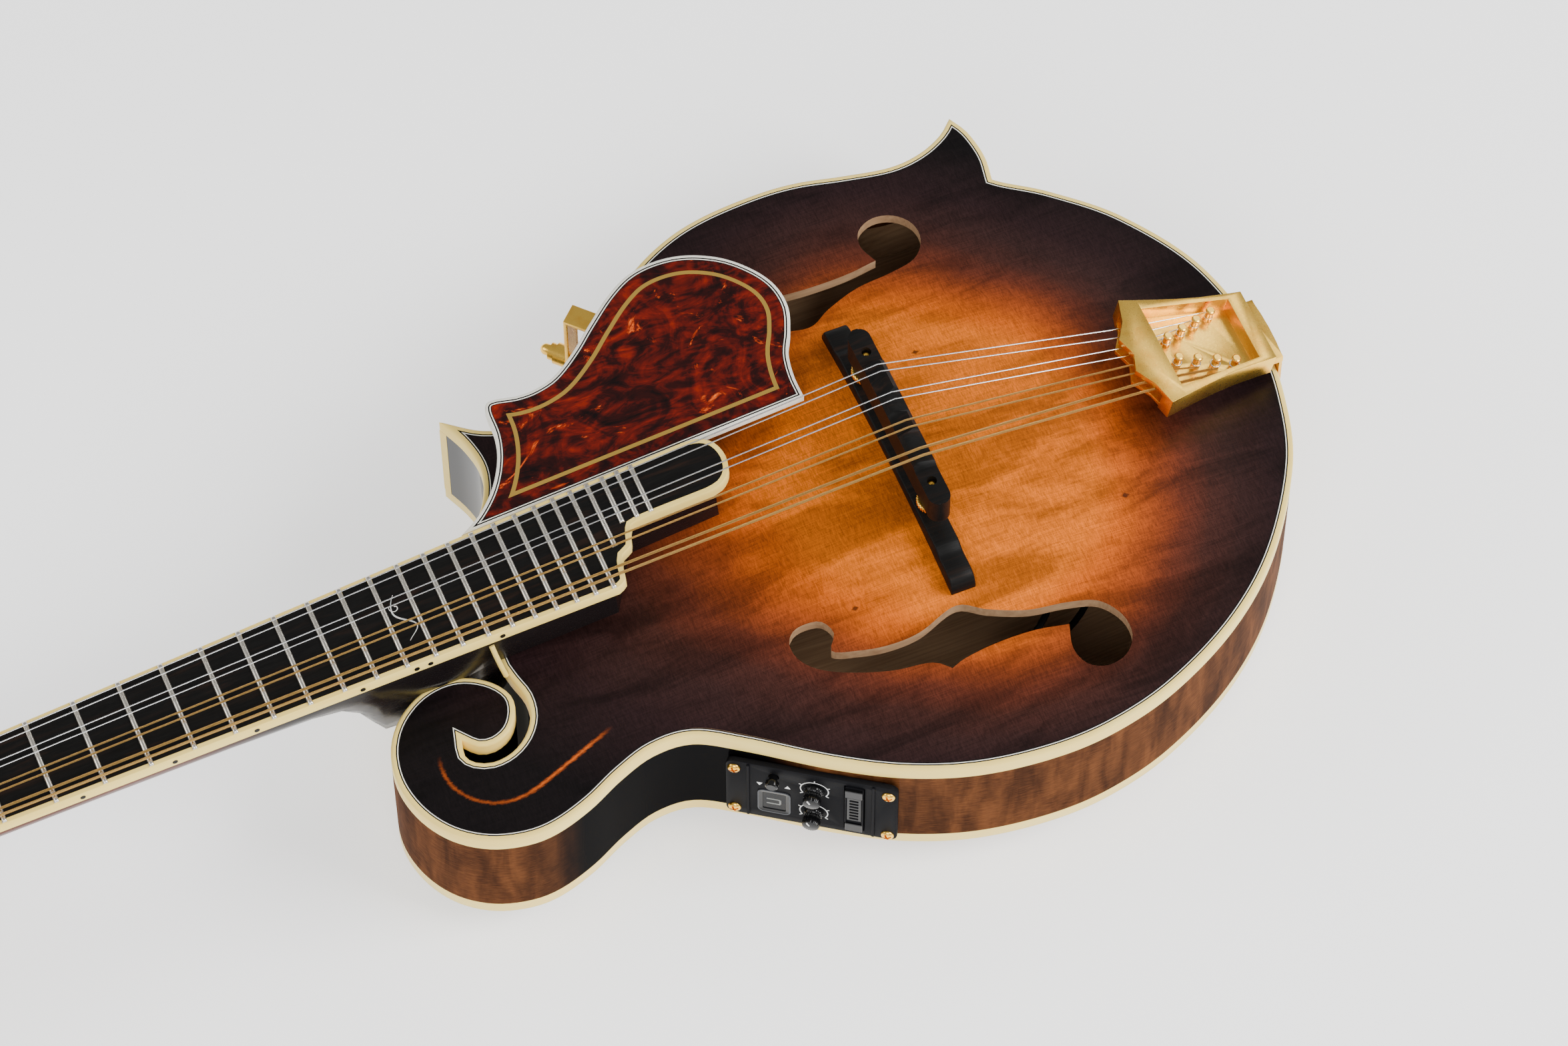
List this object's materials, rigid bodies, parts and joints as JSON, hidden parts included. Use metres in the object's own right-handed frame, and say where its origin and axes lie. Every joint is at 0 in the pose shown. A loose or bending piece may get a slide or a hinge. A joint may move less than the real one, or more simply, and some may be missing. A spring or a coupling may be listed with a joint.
{
  "type": "electro-acoustic mandolin",
  "caption": "Scroll-bodied electro-acoustic mandolin with carved top, f-holes, floating bridge, cast tailpiece, geared tuners, pickguard and side preamp.",
  "frame": {"origin": "under the middle of the instrument's bounding box, level with the lowest point of the arched back, the instrument lying on its back", "axes": "+X towards the treble side (the long point and the pickguard), +Y along the strings towards the headstock, +Z out of the carved top"},
  "size_m": [0.2546, 0.6767, 0.1056],
  "materials": {
    "spruce": "stained sunburst spruce under satin lacquer",
    "maple": "red-brown stained flamed maple under lacquer",
    "ivoroid": "aged cream celluloid, polished",
    "black_lacquer": "black gloss lacquer over maple",
    "ebony": "oiled dark hardwood, satin",
    "bone": "polished bone",
    "steel": "plain bright steel",
    "bronze_wound": "bronze-wound steel",
    "gold": "satin gold plate",
    "pearl": "pearl-look buttons on plated shafts",
    "tortoise": "flame tortoise celluloid with white and black edge layers",
    "black_plastic": "moulded black plastic",
    "pickup_brass": "small disc sensor with its lead"
  },
  "bodies": {
    "instrument": {"soundboard": "spruce", "back_plate": "maple", "rim": "maple", "top_binding": "ivoroid", "back_binding": "ivoroid", "head_block": "spruce", "tail_block": "spruce", "bass_tone_bar": "spruce", "treble_tone_bar": "spruce", "neck": "black_lacquer", "truss_rod": "steel", "truss_rod_cover": "ebony", "nut": "bone", "heel_cap": "ivoroid", "fingerboard": "ebony", "fingerboard_binding": "ivoroid", "bridge_base": "ebony", "bass_bridge_post": "gold", "treble_bridge_post": "gold", "tailpiece": "gold", "output_jack": "gold", "pickup": "pickup_brass", "pickguard": "tortoise", "pickguard_bracket": "gold", "pickguard_clamp": "gold", "preamp_housing": "black_plastic", "bass_tuner_plate": "gold", "treble_tuner_plate": "gold", "g_string_1": "bronze_wound", "g_string_2": "bronze_wound", "d_string_1": "bronze_wound", "d_string_2": "bronze_wound", "a_string_1": "steel", "a_string_2": "steel", "e_string_1": "steel", "e_string_2": "steel"},
    "saddle": {"bridge_saddle": "ebony"},
    "bass_wheel": {"bass_thumbwheel": "gold"},
    "treble_wheel": {"treble_thumbwheel": "gold"},
    "volume": {"volume_knob": "black_plastic"},
    "tone": {"tone_knob": "black_plastic"},
    "tuner_switch": {"tuner_button": "black_plastic"},
    "battery_drawer": {"battery_tray": "black_plastic", "battery": "steel"},
    "bass_button_1": {"bass_tuner_button_1": "pearl"},
    "bass_post_1": {"bass_string_post_1": "gold"},
    "bass_button_2": {"bass_tuner_button_2": "pearl"},
    "bass_post_2": {"bass_string_post_2": "gold"},
    "bass_button_3": {"bass_tuner_button_3": "pearl"},
    "bass_post_3": {"bass_string_post_3": "gold"},
    "bass_button_4": {"bass_tuner_button_4": "pearl"},
    "bass_post_4": {"bass_string_post_4": "gold"},
    "treble_button_1": {"treble_tuner_button_1": "pearl"},
    "treble_post_1": {"treble_string_post_1": "gold"},
    "treble_button_2": {"treble_tuner_button_2": "pearl"},
    "treble_post_2": {"treble_string_post_2": "gold"},
    "treble_button_3": {"treble_tuner_button_3": "pearl"},
    "treble_post_3": {"treble_string_post_3": "gold"},
    "treble_button_4": {"treble_tuner_button_4": "pearl"},
    "treble_post_4": {"treble_string_post_4": "gold"}
  },
  "joints": [
    {"name": "saddle_height", "type": "slide", "parent": "instrument", "child": "saddle", "axis": [0, 0, 1], "range_m": [-0.002, 0]},
    {"name": "bass_wheel_turn", "type": "hinge", "parent": "saddle", "child": "bass_wheel", "pos_m": [-0.0332, -0.1949, 0.088], "axis": [0, 0, 1], "range_deg": [-900, 0]},
    {"name": "treble_wheel_turn", "type": "hinge", "parent": "saddle", "child": "treble_wheel", "pos_m": [0.0238, -0.1949, 0.088], "axis": [0, 0, 1], "range_deg": [-900, 0]},
    {"name": "volume_turn", "type": "hinge", "parent": "instrument", "child": "volume", "pos_m": [-0.10044, -0.12302, 0.0454], "axis": [-0.8226, 0.5687, 0], "range_deg": [-140, 140]},
    {"name": "tone_turn", "type": "hinge", "parent": "instrument", "child": "tone", "pos_m": [-0.10032, -0.12285, 0.0302], "axis": [-0.8226, 0.5687, 0], "range_deg": [-140, 140]},
    {"name": "tuner_press", "type": "slide", "parent": "instrument", "child": "tuner_switch", "axis": [0.8226, -0.5687, 0], "range_m": [0, 0.001], "stiffness_N_per_m": 400},
    {"name": "battery_slide", "type": "slide", "parent": "instrument", "child": "battery_drawer", "axis": [-0.8226, 0.5687, 0], "range_m": [0, 0.022]},
    {"name": "bass_button_1_turn", "type": "hinge", "parent": "instrument", "child": "bass_button_1", "pos_m": [-0.0252, 0.20318, 0.03839], "axis": [-1, 0, 0], "continuous": true},
    {"name": "bass_post_1_turn", "type": "hinge", "parent": "instrument", "child": "bass_post_1", "pos_m": [-0.0232, 0.19977, 0.05841], "axis": [0, 0.2419, 0.9703], "continuous": true},
    {"name": "bass_button_2_turn", "type": "hinge", "parent": "instrument", "child": "bass_button_2", "pos_m": [-0.0252, 0.2255, 0.03282], "axis": [-1, 0, 0], "continuous": true},
    {"name": "bass_post_2_turn", "type": "hinge", "parent": "instrument", "child": "bass_post_2", "pos_m": [-0.0232, 0.22209, 0.05284], "axis": [0, 0.2419, 0.9703], "continuous": true},
    {"name": "bass_button_3_turn", "type": "hinge", "parent": "instrument", "child": "bass_button_3", "pos_m": [-0.0252, 0.24781, 0.02726], "axis": [-1, 0, 0], "continuous": true},
    {"name": "bass_post_3_turn", "type": "hinge", "parent": "instrument", "child": "bass_post_3", "pos_m": [-0.0232, 0.2444, 0.04728], "axis": [0, 0.2419, 0.9703], "continuous": true},
    {"name": "bass_button_4_turn", "type": "hinge", "parent": "instrument", "child": "bass_button_4", "pos_m": [-0.0252, 0.27013, 0.0217], "axis": [-1, 0, 0], "continuous": true},
    {"name": "bass_post_4_turn", "type": "hinge", "parent": "instrument", "child": "bass_post_4", "pos_m": [-0.0232, 0.26672, 0.04171], "axis": [0, 0.2419, 0.9703], "continuous": true},
    {"name": "treble_button_1_turn", "type": "hinge", "parent": "instrument", "child": "treble_button_1", "pos_m": [0.0158, 0.20318, 0.03839], "axis": [1, 0, 0], "continuous": true},
    {"name": "treble_post_1_turn", "type": "hinge", "parent": "instrument", "child": "treble_post_1", "pos_m": [0.0138, 0.19977, 0.05841], "axis": [0, 0.2419, 0.9703], "continuous": true},
    {"name": "treble_button_2_turn", "type": "hinge", "parent": "instrument", "child": "treble_button_2", "pos_m": [0.0158, 0.2255, 0.03282], "axis": [1, 0, 0], "continuous": true},
    {"name": "treble_post_2_turn", "type": "hinge", "parent": "instrument", "child": "treble_post_2", "pos_m": [0.0138, 0.22209, 0.05284], "axis": [0, 0.2419, 0.9703], "continuous": true},
    {"name": "treble_button_3_turn", "type": "hinge", "parent": "instrument", "child": "treble_button_3", "pos_m": [0.0158, 0.24781, 0.02726], "axis": [1, 0, 0], "continuous": true},
    {"name": "treble_post_3_turn", "type": "hinge", "parent": "instrument", "child": "treble_post_3", "pos_m": [0.0138, 0.2444, 0.04728], "axis": [0, 0.2419, 0.9703], "continuous": true},
    {"name": "treble_button_4_turn", "type": "hinge", "parent": "instrument", "child": "treble_button_4", "pos_m": [0.0158, 0.27013, 0.0217], "axis": [1, 0, 0], "continuous": true},
    {"name": "treble_post_4_turn", "type": "hinge", "parent": "instrument", "child": "treble_post_4", "pos_m": [0.0138, 0.26672, 0.04171], "axis": [0, 0.2419, 0.9703], "continuous": true}
  ],
  "couplings": [
    {"joint": "bass_wheel_turn", "follows": "saddle_height", "rad_per_m": 7854},
    {"joint": "treble_wheel_turn", "follows": "saddle_height", "rad_per_m": 7854},
    {"joint": "bass_post_1_turn", "follows": "bass_button_1_turn", "ratio": 0.071429},
    {"joint": "bass_post_2_turn", "follows": "bass_button_2_turn", "ratio": 0.071429},
    {"joint": "bass_post_3_turn", "follows": "bass_button_3_turn", "ratio": 0.071429},
    {"joint": "bass_post_4_turn", "follows": "bass_button_4_turn", "ratio": 0.071429},
    {"joint": "treble_post_1_turn", "follows": "treble_button_1_turn", "ratio": -0.071429},
    {"joint": "treble_post_2_turn", "follows": "treble_button_2_turn", "ratio": -0.071429},
    {"joint": "treble_post_3_turn", "follows": "treble_button_3_turn", "ratio": -0.071429},
    {"joint": "treble_post_4_turn", "follows": "treble_button_4_turn", "ratio": -0.071429}
  ]
}
